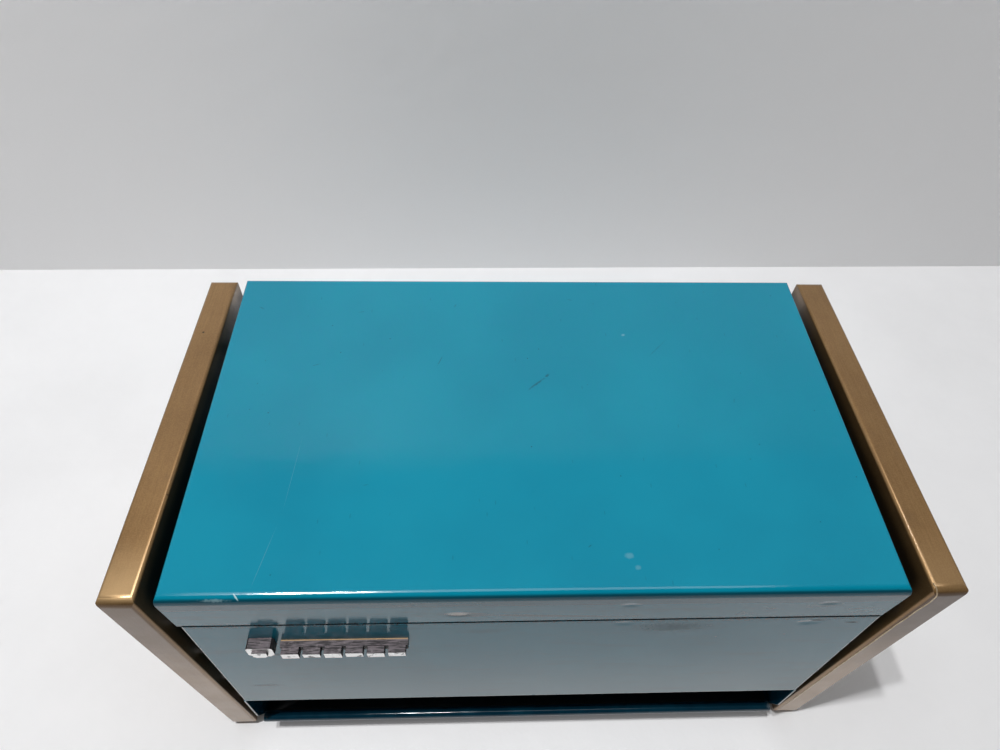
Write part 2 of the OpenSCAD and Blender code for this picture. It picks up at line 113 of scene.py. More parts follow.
class Paint:
    """A material's node graph, in the object's own coordinates."""

    def __init__(self, name):
        self.mat = bpy.data.materials.new(name)
        self.mat.use_nodes = True
        self.tree = self.mat.node_tree
        self.tree.nodes.clear()
        out = self.tree.nodes.new("ShaderNodeOutputMaterial")
        self.bsdf = self.tree.nodes.new("ShaderNodeBsdfPrincipled")
        self.tree.links.new(self.bsdf.outputs[0], out.inputs[0])
        coords = self.tree.nodes.new("ShaderNodeTexCoord")
        self.at = coords.outputs["Object"]
        self.x, self.y, self.z = self.split(self.scaled(self.at, 1 / MM))
        self.nx, self.ny, self.nz = self.split(coords.outputs["Normal"])

    def put(self, socket, value):
        if isinstance(value, bpy.types.NodeSocket):
            self.tree.links.new(value, socket)
        else:
            socket.default_value = value

    def add(self, kind, inputs, out=0, **props):
        node = self.tree.nodes.new(kind)
        for key, value in props.items():
            setattr(node, key, value)
        for key, value in inputs.items():
            self.put(node.inputs[key], value)
        return node.outputs[out]

    def set(self, **inputs):
        for key, value in inputs.items():
            self.put(self.bsdf.inputs[key.replace("_", " ")], value)

    def split(self, vector):
        node = self.tree.nodes.new("ShaderNodeSeparateXYZ")
        self.put(node.inputs[0], vector)
        return node.outputs

    def scaled(self, vector, by):
        return self.add("ShaderNodeVectorMath", {0: vector, 3: by}, operation="SCALE")

    def stretch(self, scale, turn=(0, 0, 0)):
        return self.add("ShaderNodeMapping", {"Vector": self.at, "Rotation": turn, "Scale": scale})

    def noise(self, scale, detail=2.0, rough=0.5, vec=None):
        inputs = {"Vector": vec or self.at, "Scale": scale, "Detail": detail, "Roughness": rough}
        return self.add("ShaderNodeTexNoise", inputs)

    def cells(self, scale, out="Distance", vec=None):
        return self.add("ShaderNodeTexVoronoi", {"Vector": vec or self.at, "Scale": scale}, out)

    def math(self, op, a, b=0.0, c=0.0):
        return self.add("ShaderNodeMath", {0: a, 1: b, 2: c}, operation=op)

    def times(self, *values):
        out = values[0]
        for value in values[1:]:
            out = self.math("MULTIPLY", out, value)
        return out

    def most(self, *values):
        out = values[0]
        for value in values[1:]:
            out = self.math("MAXIMUM", out, value)
        return out

    def span(self, value, low, high, to_low=0.0, to_high=1.0):
        inputs = {0: value, 1: low, 2: high, 3: to_low, 4: to_high}
        return self.add("ShaderNodeMapRange", inputs, interpolation_type="SMOOTHSTEP")

    def band(self, value, middle, half, soft):
        """1 within half of middle, fading to 0 over soft."""
        off = self.math("ABSOLUTE", self.math("SUBTRACT", value, middle))
        return self.span(off, half + soft, half)

    def mix(self, fac, a, b):
        return self.add("ShaderNodeMix", {0: fac, 6: a, 7: b}, 2, data_type="RGBA")

    def spot(self, at, half, turn=(0, 0, 0), ragged=0.0, grain=400.0, soft=0.5):
        """1 inside an ellipsoid of the given half sizes in millimetres, with a ragged soft edge."""
        place = {"Vector": self.at, "Location": Vector(at) * MM, "Rotation": turn,
                 "Scale": Vector(half) * MM}
        local = self.add("ShaderNodeMapping", place, vector_type="TEXTURE")
        reach = self.add("ShaderNodeVectorMath", {0: local}, "Value", operation="LENGTH")
        if ragged:
            wave = self.math("MULTIPLY_ADD", self.noise(grain, 3.0, 0.6), 2 * ragged, -ragged)
            reach = self.math("ADD", reach, wave)
        return self.span(reach, 1.0, 1.0 - soft)

    def bump(self, height, distance, normal=None):
        inputs = {"Height": height, "Distance": distance, "Strength": 1.0}
        if normal:
            inputs["Normal"] = normal
        return self.add("ShaderNodeBump", inputs)


# ---------------------------------------------------------------- teal enamel

# Near-black for dirt specks and dark marks, also used as painted shade in the seam along the panel's top
# edge.
DARK_GRIME_AND_SHADE = (0.004, 0.007, 0.009, 1)
# Painted highlights along the thin front edges of the case sides and of the panel.
CASE_EDGE_HIGHLIGHT = (0.62, 0.64, 0.64, 1)
PANEL_EDGE_HIGHLIGHT = (0.66, 0.69, 0.69, 1)
RUBBED_SPOT = (0.62, 0.58, 0.55, 1)
# Lit and shaded copies of the teal: the darker side copy is painted shade for upright faces.
TEAL_TOP_LIT = ((0.000, 0.214, 0.324, 1), (0.001, 0.241, 0.354, 1))
TEAL_SIDE_SHADED = ((0.002, 0.125, 0.185, 1), (0.004, 0.150, 0.215, 1))
# Painted shade: dark navy teal for surfaces in the shade under the panel.
SHADED_NAVY_TEAL = (0.0015, 0.024, 0.044, 1)

# Wear, in millimetres in the part's frame: place, half sizes, turn in degrees (top only), weight.
TOP_SCUFFS = (
    ((4.4, 17.3), (9.2, 1.0), 40, 0.62),
    ((11.0, 23.5), (2.2, 1.2), 40, 0.7),
    ((-52.3, 34.5), (5.8, 0.6), 68, 0.5),
    ((79.5, 44.0), (12.0, 0.55), 46, 0.34),
    ((-125.0, 31.6), (3.6, 0.5), 20, 0.5),
    ((-165.1, 77.5), (3.0, 0.7), -30, 0.5),
    ((-102.4, 74.2), (2.6, 0.6), 10, 0.55),
    ((-44.1, 79.6), (2.2, 0.8), 60, 0.5),
    ((29.9, 85.1), (2.6, 0.6), -15, 0.5),
    ((24.8, -82.8), (1.6, 0.5), 30, 0.5),
    ((118.0, 5.0), (2.4, 0.4), 75, 0.45),
    ((-88.0, -48.0), (1.8, 0.4), 15, 0.4),
)
TOP_LIGHT_MARKS = (
    ((60.3, 55.1), (1.8, 1.2), 20, 0.45),
    ((43.5, -88.0), (3.0, 2.0), 0, 0.22),
    ((47.0, -94.0), (2.0, 1.6), 0, 0.20),
    ((-126.5, -40.0), (0.16, 27.0), -4, 0.20),
    ((-133.1, -87.0), (0.16, 21.0), -12, 0.22),
)
PANEL_SMUDGES = (
    ((72.0, 187.0), (34.0, 10.0), 0.55),
    ((146.0, 193.0), (9.0, 1.7), 0.85),
    ((166.0, 189.5), (6.0, 1.5), 0.9),
    ((-138.0, 156.0), (16.0, 2.2), 0.55),
    ((-157.0, 104.0), (14.0, 3.2), 0.40),
    ((-92.0, 176.0), (8.0, 2.0), 0.35),
    ((98.0, 172.0), (1.0, 0.8), 0.8),
    ((135.0, 174.0), (1.0, 0.8), 0.8),
    ((-28.0, 185.0), (18.0, 5.0), 0.25),
    ((-70.0, 190.0), (20.0, 3.0), 0.25),
)


def enamel_skin(p, soften=1.0):
    """Orange peel that every teal part shares."""
    peel = p.noise(230.0, 1.2, 0.4)
    fine = p.noise(900.0, 2.0, 0.5)
    wave = p.noise(42.0, 1.0, 0.4)
    high = p.math("MULTIPLY_ADD", fine, 0.10, peel)
    near = p.bump(high, 0.000026 * soften)
    return p.bump(wave, 0.00007 * soften, near)


def teal_cloud(p):
    """The faint, broad unevenness of all the teal."""
    return p.span(p.noise(9.0, 3.0, 0.55), 0.35, 0.68)


def teal_base(p):
    """Painted light and shade: lighter teal on upward faces and darker on upright ones, with a faint
    cloud in both.
    """
    cloud = teal_cloud(p)
    up = p.span(p.nz, 0.58, 0.96)
    return p.mix(up, p.mix(cloud, *TEAL_SIDE_SHADED), p.mix(cloud, *TEAL_TOP_LIT))


def specks(p, scale, size, share):
    """Small dots in the given share of the cells."""
    pick = p.span(p.split(p.cells(scale, "Color"))[0], 1 - share, 1 - share + 0.02)
    return p.times(p.span(p.cells(scale), size, size * 0.55), pick)


def finish_teal(p, col, rough, skin):
    p.set(Base_Color=col, Roughness=rough, IOR=1.5, Normal=skin)
    return p.mat


def wear_and_highlight(p, col, rough, mask, bare, bare_rough):
    """Colour and roughness where the mask is set: bare metal where the enamel is rubbed through, and
    painted highlights along edges.
    """
    return p.mix(mask, col, bare), p.math("ADD", rough, p.times(mask, bare_rough))


def gloss(p):
    """The roughness that glossy teal shares."""
    return p.span(p.noise(26.0, 4.0, 0.65), 0.3, 0.75, 0.085, 0.135)


def teal_enamel():
    """Plain teal in its darker, shaded copy, for the parts inside."""
    p = Paint("teal_enamel_paint")
    col = p.mix(teal_cloud(p), *TEAL_SIDE_SHADED)
    col = p.mix(p.times(specks(p, 90.0, 0.05, 0.3), 0.6), col, DARK_GRIME_AND_SHADE)
    dust = p.times(p.span(p.noise(70.0, 5.0, 0.65), 0.5, 0.75), 0.18)
    col = p.mix(dust, col, (0.16, 0.19, 0.19, 1))
    return finish_teal(p, col, gloss(p), enamel_skin(p))


def case_enamel():
    """The case's sides: painted dark navy below the panel as shade in the bay under it, with painted
    highlights along their front edges.
    """
    p = Paint("teal_enamel_case")
    col, rough = p.mix(p.span(p.z, 64.0, 74.0), SHADED_NAVY_TEAL, teal_base(p)), gloss(p)
    col = p.mix(p.times(specks(p, 90.0, 0.06, 0.4), 0.7), col, DARK_GRIME_AND_SHADE)
    # Painted highlight along the sides' front edges, broken up in a chipped pattern.
    chip = p.span(p.noise(320.0, 3.0, 0.6), 0.36, 0.46)
    outer = p.span(p.math("ABSOLUTE", p.x), CASE_HALF - 0.3, CASE_HALF + 0.1)
    edge_highlight = p.times(p.span(p.ny, -0.80, -0.95), outer, p.span(p.z, 38.0, 41.0), chip)
    col, rough = wear_and_highlight(p, col, rough, edge_highlight, CASE_EDGE_HIGHLIGHT, 0.25)
    return finish_teal(p, col, rough, enamel_skin(p))


def rail_enamel():
    """The bottom rail: glossy and painted dark as shade under the panel's overhang, with grime and a few
    small chips along the roll.
    """
    p = Paint("teal_enamel_rail")
    cloud = p.span(p.noise(60.0, 4.0, 0.6), 0.35, 0.7)
    # Painted shade: the rail's dark colour stands for the shade under the panel's overhang.
    col = p.mix(cloud, SHADED_NAVY_TEAL, (0.002, 0.036, 0.062, 1))
    col = p.mix(p.times(specks(p, 260.0, 0.08, 0.4), 0.7), col, DARK_GRIME_AND_SHADE)
    end = p.times(p.span(p.math("ABSOLUTE", p.x), CASE_HALF - 3.5, CASE_HALF - 0.5),
                  p.span(p.noise(700.0, 3.0, 0.6), 0.48, 0.54))
    col = p.mix(p.times(end, 0.3), col, (0.30, 0.32, 0.32, 1))
    return finish_teal(p, col, p.span(cloud, 0.0, 1.0, 0.10, 0.17), enamel_skin(p, 0.5))


def top_marks(p, marks, ragged, grain):
    """One mask for a table of marks on the lid's top."""
    mask = 0.0
    for (x, y), (a, b), turn, weight in marks:
        turned = (0, 0, math.radians(turn))
        mark = p.spot((x, y, LID_FRONT_TOP), (a, b, 12), turned, ragged, grain, 0.7)
        mask = p.most(mask, p.times(mark, weight))
    return mask


def lid_enamel():
    """The lid: painted lighter on top and darker on upright faces as light and shade, with painted shade
    low on its front rounding, speckled on top, smeared and rubbed along its front rim.
    """
    p = Paint("teal_enamel_lid")
    col, rough = teal_base(p), gloss(p)
    up = p.span(p.nz, 0.6, 0.9)
    front = p.span(p.ny, -0.6, -0.9)
    rim = LID_LOW.z
    # Painted shade on the lower part of the front rounding, which faces the dark room.
    under = p.times(p.band(p.ny, -0.84, 0.08, 0.22), p.span(p.z, rim + 20.0, rim + 24.0))
    col = p.mix(p.times(under, 0.8), col, (0.002, 0.045, 0.070, 1))

    fine = p.times(specks(p, 110.0, 0.055, 0.35), up, 0.75)
    dots = p.times(specks(p, 34.0, 0.022, 0.5), up)
    col = p.mix(p.most(fine, dots), col, (0.0, 0.035, 0.05, 1))
    short = p.stretch((150, 40, 40), (0, 0, math.radians(38)))
    nicks = p.times(p.span(p.cells(1.0, vec=short), 0.07, 0.03), up, 0.3)
    col = p.mix(nicks, col, (0.0, 0.07, 0.10, 1))
    dark = top_marks(p, TOP_SCUFFS, 0.55, 900.0)
    col = p.mix(p.times(dark, up), col, (0.004, 0.055, 0.075, 1))
    light = top_marks(p, TOP_LIGHT_MARKS, 0.3, 700.0)
    col = p.mix(p.times(light, up), col, (0.30, 0.52, 0.58, 1))

    # front rim: stain and smear along its lower edge, a ragged dark band along its bottom edge, a ragged
    # dark line at the foot of the front rounding on the right, spot rubbed through to the steel, rubbed
    # nick and scrape on the top edge
    cloud = p.noise(130.0, 4.0, 0.62, vec=p.stretch((0.35, 1, 1)))
    stain = p.times(p.span(cloud, 0.45, 0.75), front, 0.35)
    col = p.mix(stain, col, (0.03, 0.045, 0.05, 1))
    smear = p.spot((5.0, LID_LOW.y, 204.6), (52.0, 9.0, 2.3), (0, math.radians(4.5), 0),
                   0.30, 260.0, 0.8)
    halo = p.spot((-36.0, LID_LOW.y, 208.0), (17.0, 9.0, 4.4), (0, math.radians(2), 0),
                  0.2, 300.0, 0.6)
    col = p.mix(p.times(p.most(smear, halo), front, 0.62), col, (0.035, 0.040, 0.042, 1))
    ragged = p.noise(900.0, 3.0, 0.65, vec=p.stretch((0.45, 1, 1)))
    to_right = p.span(p.x, -30.0, 60.0, 0.72, 1.0)
    lip = p.times(front, p.span(p.z, rim + 2.6, rim + 0.4), p.span(ragged, 0.45, 0.56), to_right)
    col = p.mix(p.times(lip, 0.9), col, (0.008, 0.011, 0.012, 1))
    crease = p.times(p.band(p.z, LID_FRONT_TOP - 5.3, 0.15, 0.5), p.span(p.ny, -0.3, -0.7),
                     p.span(ragged, 0.35, 0.52), p.span(p.x, 90.0, 165.0))
    col = p.mix(crease, col, DARK_GRIME_AND_SHADE)
    bare = p.spot((-40.2, LID_LOW.y, 208.2), (5.6, 9.0, 2.3), (0, 0, 0), 0.28, 700.0, 0.45)
    bare = p.times(bare, front)
    col, rough = wear_and_highlight(p, col, rough, bare, RUBBED_SPOT, 0.30)
    nick = p.spot((-142.3, -105.6, LID_FRONT_TOP), (2.6, 0.5, 3.0), (0, 0, math.radians(-50)),
                  0.3, 800.0)
    scrape = p.spot((-152.0, -106.8, LID_FRONT_TOP), (9.0, 0.9, 3.0), (0, 0, 0),
                    0.6, 700.0, 0.6)
    col = p.mix(p.most(nick, p.times(scrape, 0.35)), col, (0.42, 0.62, 0.66, 1))
    return finish_teal(p, col, rough, enamel_skin(p))


def panel_enamel():
    """The front panel: smudged, lighter and greyer toward the bottom as a painted reflection of the
    floor, with painted highlights at its side edges.
    """
    p = Paint("teal_enamel_panel")
    col, rough = p.mix(teal_cloud(p), *TEAL_SIDE_SHADED), gloss(p)
    # Painted shade: the panel's upward top edge in the seam under the lid is near-black.
    col = p.mix(p.times(p.span(p.nz, 0.2, 0.6), p.span(p.z, 180.0, 185.0)), col, DARK_GRIME_AND_SHADE)
    front = p.span(p.ny, -0.6, -0.9)
    smear = p.noise(90.0, 4.0, 0.62, vec=p.stretch((0.22, 1, 1)))
    col = p.mix(p.times(p.span(smear, 0.48, 0.78), front, 0.35), col, (0.02, 0.07, 0.088, 1))
    fine = p.noise(700.0, 3.0, 0.6, vec=p.stretch((0.5, 1, 1)))
    col = p.mix(p.times(p.span(fine, 0.5, 0.8), front, 0.12), col, (0.06, 0.12, 0.14, 1))
    # Painted reflection: the bright floor mirrored low on the panel, as a lighter grey toward the
    # bottom.
    low = p.times(p.span(p.z, 165.0, 80.0), front, 0.40)
    col = p.mix(low, col, (0.15, 0.185, 0.195, 1))
    dark = 0.0
    for (x, z), (a, c), weight in PANEL_SMUDGES:
        mark = p.spot((x, PANEL_LOW.y, z), (a, 12, c), (0, 0, 0), 0.45, 260.0, 0.8)
        dark = p.most(dark, p.times(mark, weight))
    col = p.mix(p.times(dark, front), col, (0.004, 0.014, 0.018, 1))
    rough = p.math("ADD", rough, p.times(dark, front, 0.5))
    ragged = p.noise(800.0, 3.0, 0.65, vec=p.stretch((0.5, 1, 1)))
    top = p.times(front, p.span(p.z, PANEL_HIGH.z - 3.4, PANEL_HIGH.z - 0.8),
                  p.span(ragged, 0.48, 0.56), p.span(p.x, -10.0, 90.0, 0.7, 1.0))
    col = p.mix(p.times(top, 0.9), col, DARK_GRIME_AND_SHADE)
    # Painted highlight along the panel's side and bottom edges, broken up in a chipped pattern.
    chip = p.span(p.noise(260.0, 3.0, 0.6), 0.34, 0.44)
    side = p.span(p.math("ABSOLUTE", p.x), CASE_HALF - 0.75, CASE_HALF - 0.35)
    under = p.span(p.z, PANEL_LOW.z + 0.9, PANEL_LOW.z + 0.5)
    edge_highlight = p.times(p.most(p.times(side, 0.95), p.times(under, 0.5)), chip, p.span(p.ny, 0.0, -0.2))
    col, rough = wear_and_highlight(p, col, rough, edge_highlight, PANEL_EDGE_HIGHLIGHT, 0.22)
    return finish_teal(p, col, rough, enamel_skin(p))


# ---------------------------------------------------------------- other finishes


def bronze_enamel():
    """Bronze-coloured enamel on the end frames, with painted shade on the faces turned toward the case
    and on the upper front faces, and a painted highlight on the tops near the front.
    """
    p = Paint("bronze_enamel_paint")
    cloud = p.span(p.noise(14.0, 4.0, 0.6), 0.3, 0.7)
    col = p.mix(cloud, (0.235, 0.126, 0.042, 1), (0.310, 0.174, 0.064, 1))
    along = p.span(p.noise(1.0, 2.0, 0.6, vec=p.stretch((1100, 34, 34))), 0.30, 0.72)
    col = p.mix(p.times(along, 0.30), col, (0.165, 0.085, 0.028, 1))
    flake = p.span(p.noise(1700.0, 1.0, 0.5), 0.40, 0.66)
    col = p.mix(p.times(flake, 0.20), col, (0.46, 0.29, 0.12, 1))
    dots = p.most(p.times(specks(p, 75.0, 0.05, 0.28), 0.75), specks(p, 22.0, 0.022, 0.5))
    col = p.mix(dots, col, (0.030, 0.017, 0.008, 1))
    grimy = p.times(p.span(p.noise(38.0, 4.0, 0.65), 0.55, 0.75), 0.22)
    col = p.mix(grimy, col, (0.09, 0.055, 0.028, 1))
    # Painted shade: front faces darker toward the top, for the dark they reflect there, more on the
    # right frame.
    high = p.times(p.span(p.ny, -0.7, -0.95), p.span(p.z, 90.0, 215.0))
    high = p.times(high, p.span(p.x, -100.0, 100.0, 0.75, 1.0))
    col = p.mix(p.times(high, 0.95), col, (0.095, 0.054, 0.028, 1))
    # Painted highlight: lighter tops near the front, more on the left frame.
    near = p.times(p.span(p.nz, 0.5, 0.9), p.span(p.y, -72.0, -104.0),
                   p.span(p.x, -100.0, 100.0, 0.6, 0.25))
    col = p.mix(near, col, (0.56, 0.37, 0.18, 1))
    # Painted shade on the faces turned toward the case, deepening into the gap.
    gap_shade = p.span(p.times(p.math("SIGN", p.x), p.nx), -0.75, -1.0)
    depth = p.times(p.span(p.y, FRAME_LOW.y, FRAME_LOW.y + 14.0),
                    p.span(p.z, FRAME_HIGH.z, FRAME_HIGH.z - 14.0))
    gap_shade = p.times(gap_shade, p.span(depth, 0.0, 1.0, 0.40, 1.0))
    col = p.mix(p.times(gap_shade, 0.94), col, (0.012, 0.007, 0.004, 1))
    peel = p.noise(300.0, 1.5)
    skin = p.bump(p.math("MULTIPLY_ADD", along, 0.35, peel), 0.000022)
    rough = p.span(p.noise(40.0, 4.0, 0.6), 0.3, 0.7, 0.34, 0.42)
    coat = p.span(p.most(gap_shade, p.times(high, 0.55)), 0.0, 1.0, 0.6, 0.1)
    p.set(Base_Color=col, Metallic=0.6, Roughness=rough, Coat_Weight=coat, Coat_Roughness=0.2,
          Normal=skin)
    return p.mat


def ridge_enamel():
    """The lighter enamel on the fold along the right end frame, painted as a highlight."""
    p = Paint("bronze_enamel_ridge")
    cloud = p.noise(260.0, 4.0, 0.6)
    col = p.mix(p.span(cloud, 0.35, 0.65), (0.42, 0.29, 0.15, 1), (0.68, 0.54, 0.36, 1))
    p.set(Base_Color=col, Metallic=0.5, Roughness=p.span(cloud, 0.3, 0.7, 0.28, 0.42),
          Coat_Weight=0.6, Normal=p.bump(cloud, 0.00003))
    return p.mat


def zinc_steel():
    p = Paint("zinc_steel_plate")
    cloud = p.noise(60.0, 4.0, 0.6)
    col = p.mix(cloud, (0.42, 0.42, 0.41, 1), (0.62, 0.62, 0.60, 1))
    spangle = p.split(p.cells(160.0, "Color"))[0]
    col = p.mix(p.times(spangle, 0.25), col, (0.36, 0.37, 0.38, 1))
    scratch = p.noise(500.0, 3.0, 0.6, vec=p.stretch((1, 0.08, 1)))
    p.set(Base_Color=col, Metallic=1.0, Roughness=p.span(cloud, 0.3, 0.7, 0.28, 0.45),
          Normal=p.bump(scratch, 0.00002))
    return p.mat


def badge_chrome():
    """Aged plating: dull streaky tops, near-black painted shade on the sides and on the bar's front
    between the letters, front faces still bright, brass along the back edge.
    """
    p = Paint("badge_chrome_plate")
    cloud = p.noise(240.0, 4.0, 0.6)
    streak = p.noise(1.0, 3.0, 0.6, vec=p.stretch((160, 1300, 1300)))
    col = p.mix(p.span(streak, 0.38, 0.62), (0.022, 0.018, 0.021, 1), (0.165, 0.138, 0.152, 1))
    blotch = p.span(p.noise(420.0, 3.0, 0.6), 0.58, 0.70)
    col = p.mix(p.times(blotch, 0.5), col, (0.26, 0.23, 0.24, 1))
    brass = p.times(p.band(p.z, BAR_HIGH.z - 0.3, 0.6, 0.5),
                    p.span(p.y, BAR_HIGH.y - 3.9, BAR_HIGH.y - 3.3),
                    p.span(p.x, SHIELD_HIGH.x + 1.0, SHIELD_HIGH.x + 2.0))
    col = p.mix(brass, col, (0.50, 0.34, 0.18, 1))
    # Painted shade: the sides of the letters and the bar are near-black.
    flank_shade = p.span(p.math("ABSOLUTE", p.nx), 0.45, 0.75)
    col = p.mix(p.times(flank_shade, 0.9), col, (0.010, 0.009, 0.010, 1))
    facing = p.span(p.ny, -0.75, -0.92)
    raised = p.span(p.y, BAR_LOW.y - 0.2, BAR_LOW.y - 0.8)
    # Painted shade: the bar's front faces between the letters are near-black.
    col = p.mix(p.times(facing, p.span(raised, 1.0, 0.0)), col, (0.012, 0.010, 0.011, 1))
    face = p.times(facing, raised, p.span(cloud, 0.30, 0.46))
    col = p.mix(face, col, (0.93, 0.92, 0.91, 1))
    bright = p.span(face, 0.0, 1.0)
    rough = p.math("SUBTRACT", p.span(cloud, 0.3, 0.7, 0.50, 0.66), p.times(bright, 0.26))
    p.set(Base_Color=col, Metallic=p.span(bright, 0.0, 1.0, 0.15, 0.95), Roughness=rough,
          Normal=p.bump(p.math("ADD", cloud, streak), 0.00006))
    return p.mat


def black_rubber():
    p = Paint("black_rubber_pad")
    cloud = p.noise(120.0, 4.0, 0.6)
    col = p.mix(cloud, (0.004, 0.004, 0.005, 1), (0.011, 0.011, 0.012, 1))
    p.set(Base_Color=col, Roughness=p.span(cloud, 0.3, 0.7, 0.55, 0.8), Specular_IOR_Level=0.3,
          Normal=p.bump(p.noise(1500.0, 3.0), 0.00006))
    return p.mat


def grey_felt():
    p = Paint("grey_felt_liner")
    cloud = p.noise(800.0, 5.0, 0.7)
    col = p.mix(cloud, (0.02, 0.022, 0.024, 1), (0.075, 0.08, 0.085, 1))
    p.set(Base_Color=col, Roughness=0.95, Sheen_Weight=0.4, Normal=p.bump(cloud, 0.0004))
    return p.mat


def magnet_plate():
    p = Paint("magnet_plate")
    cloud = p.noise(250.0, 4.0, 0.6)
    col = p.mix(cloud, (0.12, 0.12, 0.125, 1), (0.24, 0.24, 0.25, 1))
    p.set(Base_Color=col, Metallic=0.9, Roughness=p.span(cloud, 0.3, 0.7, 0.3, 0.5),
          Normal=p.bump(cloud, 0.00003))
    return p.mat


def finish_nodes():
    """Gives each node's slots the finish its record slot names, or the node's own worn teal."""
    made = {
        "teal_enamel": teal_enamel(),
        "bronze_enamel": bronze_enamel(),
        "zinc_steel": zinc_steel(),
        "badge_chrome": badge_chrome(),
        "black_rubber": black_rubber(),
        "grey_felt": grey_felt(),
        "magnet": magnet_plate(),
    }
    case = case_enamel()
    own = {
        "lid_shell": lid_enamel(),
        "front_panel": panel_enamel(),
        "case_side_left": case,
        "case_side_right": case,
        "floor_pan": case,
        "deck": case,
        "bottom_rail": rail_enamel(),
    }
    for name, obj in NODES.items():
        for slot in obj.material_slots:
            slot.material = own.get(name) or made[slot.material.name.split(".")[0]]


# ---------------------------------------------------------------- shapes


WELD_GAP = 1e-6
CUT_GAP = 1e-7
EDGE_RADIUS = 0.25 * MM
EDGE_STEPS = 2
EDGE_ANGLE = math.radians(35)
FRONT_FACING = -0.95  # a face's y normal below this looks outward
FRONT_REACH = 6 * MM  # how far behind the foremost point the front skin goes
END_CUTS = (3 * MM, 9 * MM)
SKIN_STRIPS = 8
DENT_STEPS = 7
BEAD_SIDES = 8


def round_edges(obj):
    weld = obj.modifiers.new("weld", "WELD")
    weld.merge_threshold = WELD_GAP
    bevel = obj.modifiers.new("bevel", "BEVEL")
    bevel.width = EDGE_RADIUS
    bevel.segments = EDGE_STEPS
    bevel.limit_method = "ANGLE"
    bevel.angle_limit = EDGE_ANGLE
    bevel.harden_normals = False
    bevel.use_clamp_overlap = True


def cut_front(bm, front_y, x_range, place, normal):
    """Cuts the outward front faces near front_y and inside x_range with one plane."""
    faces = []
    for f in bm.faces:
        if f.normal.y > FRONT_FACING or f.calc_center_median().y > front_y + FRONT_REACH:
            continue
        xs = [v.co.x for v in f.verts]
        if max(xs) > x_range[0] + CUT_GAP and min(xs) < x_range[1] - CUT_GAP:
            faces.append(f)
    edges = {e for f in faces for e in f.edges}
    verts = {v for f in faces for v in f.verts}
    geom = [*faces, *edges, *verts]
    bmesh.ops.bisect_plane(bm, geom=geom, dist=CUT_GAP, plane_co=place, plane_no=normal)


def dent(bm, front_y, x, z, half_w, half_h, depth):
    """Presses a shallow oval into the front, over a local grid of cuts."""
    for i in range(-DENT_STEPS, DENT_STEPS + 1):
        px = x + half_w * i / DENT_STEPS
        cut_front(bm, front_y, (px - WELD_GAP, px + WELD_GAP), (px, 0, 0), (1, 0, 0))
    for i in range(-DENT_STEPS, DENT_STEPS + 1):
        pz = z + half_h * i / DENT_STEPS
        cut_front(bm, front_y, (x - half_w, x + half_w), (0, 0, pz), (0, 0, 1))
    for v in bm.verts:
        reach = ((v.co.x - x) / half_w) ** 2 + ((v.co.z - z) / half_h) ** 2
        outward = any(f.normal.y < FRONT_FACING for f in v.link_faces)
        if reach < 1 and outward and v.co.y < front_y + FRONT_REACH:
            v.co.y += depth * (1 - reach) ** 2


def dented(node, name, dents):
    """A copy of a node with dents in its front skin, which stands for the node."""
    src = NODES[node]
    bm = bmesh.new()
    bm.from_mesh(src.data)
    bmesh.ops.remove_doubles(bm, verts=bm.verts, dist=WELD_GAP)
    low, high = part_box(node)
    # Upright cuts stop the end corners' tilted normals from being spread along the whole front.
    cuts = [low.x + d for d in END_CUTS] + [high.x - d for d in reversed(END_CUTS)]
    cuts += [low.x + (high.x - low.x) * i / SKIN_STRIPS for i in range(1, SKIN_STRIPS)]
    for x in cuts:
        geom = [*bm.verts, *bm.edges, *bm.faces]
        bmesh.ops.bisect_plane(bm, geom=geom, dist=CUT_GAP, plane_co=(x, 0, 0), plane_no=(1, 0, 0))
    bm.normal_update()
    front_y = low.y
    for values in dents:
        dent(bm, front_y, *[v * MM for v in values])
        bm.normal_update()
    for e in bm.edges:
        e.smooth = len(e.link_faces) == 2 and e.calc_face_angle(0) < math.radians(30)
    for f in bm.faces:
        f.smooth = True
    mesh = bpy.data.meshes.new(name)
    bm.to_mesh(mesh)
    bm.free()
    for slot in src.material_slots:
        mesh.materials.append(slot.material)
    obj = bpy.data.objects.new(name, mesh)
    bpy.context.scene.collection.objects.link(obj)
    round_edges(obj)
    level = obj.modifiers.new("normals", "WEIGHTED_NORMAL")
    level.keep_sharp = True
    level.weight = 100
    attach(obj, src["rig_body"])
    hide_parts(node)
    return obj


def bead(name, points, radius, mat):
    """A thin raised line of enamel through the points, in millimetres, thinning at both ends."""
    path = [Vector(q) * MM for q in points]
    bm = bmesh.new()
    rings = []
    for i, q in enumerate(path):
        along = (path[min(i + 1, len(path) - 1)] - path[max(i - 1, 0)]).normalized()
        side = along.cross(Vector((0, -1, 1))).normalized()
        over = side.cross(along)
        r = radius * MM * (0.35 if i in (0, len(path) - 1) else 1.0)
        ring = []
        for k in range(BEAD_SIDES):
            a = 2 * math.pi * k / BEAD_SIDES
            ring.append(bm.verts.new(q + (side * math.cos(a) + over * math.sin(a)) * r))
        rings.append(ring)
    for a, b in zip(rings, rings[1:]):
        for k in range(BEAD_SIDES):
            after = (k + 1) % BEAD_SIDES
            bm.faces.new((a[k], a[after], b[after], b[k]))
    bm.faces.new(rings[0][::-1])
    bm.faces.new(rings[-1])
    bmesh.ops.recalc_face_normals(bm, faces=bm.faces)
    for f in bm.faces:
        f.smooth = True
    mesh = bpy.data.meshes.new(name)
    bm.to_mesh(mesh)
    bm.free()
    mesh.materials.append(mat)
    obj = bpy.data.objects.new(name, mesh)
    bpy.context.scene.collection.objects.link(obj)
    return obj


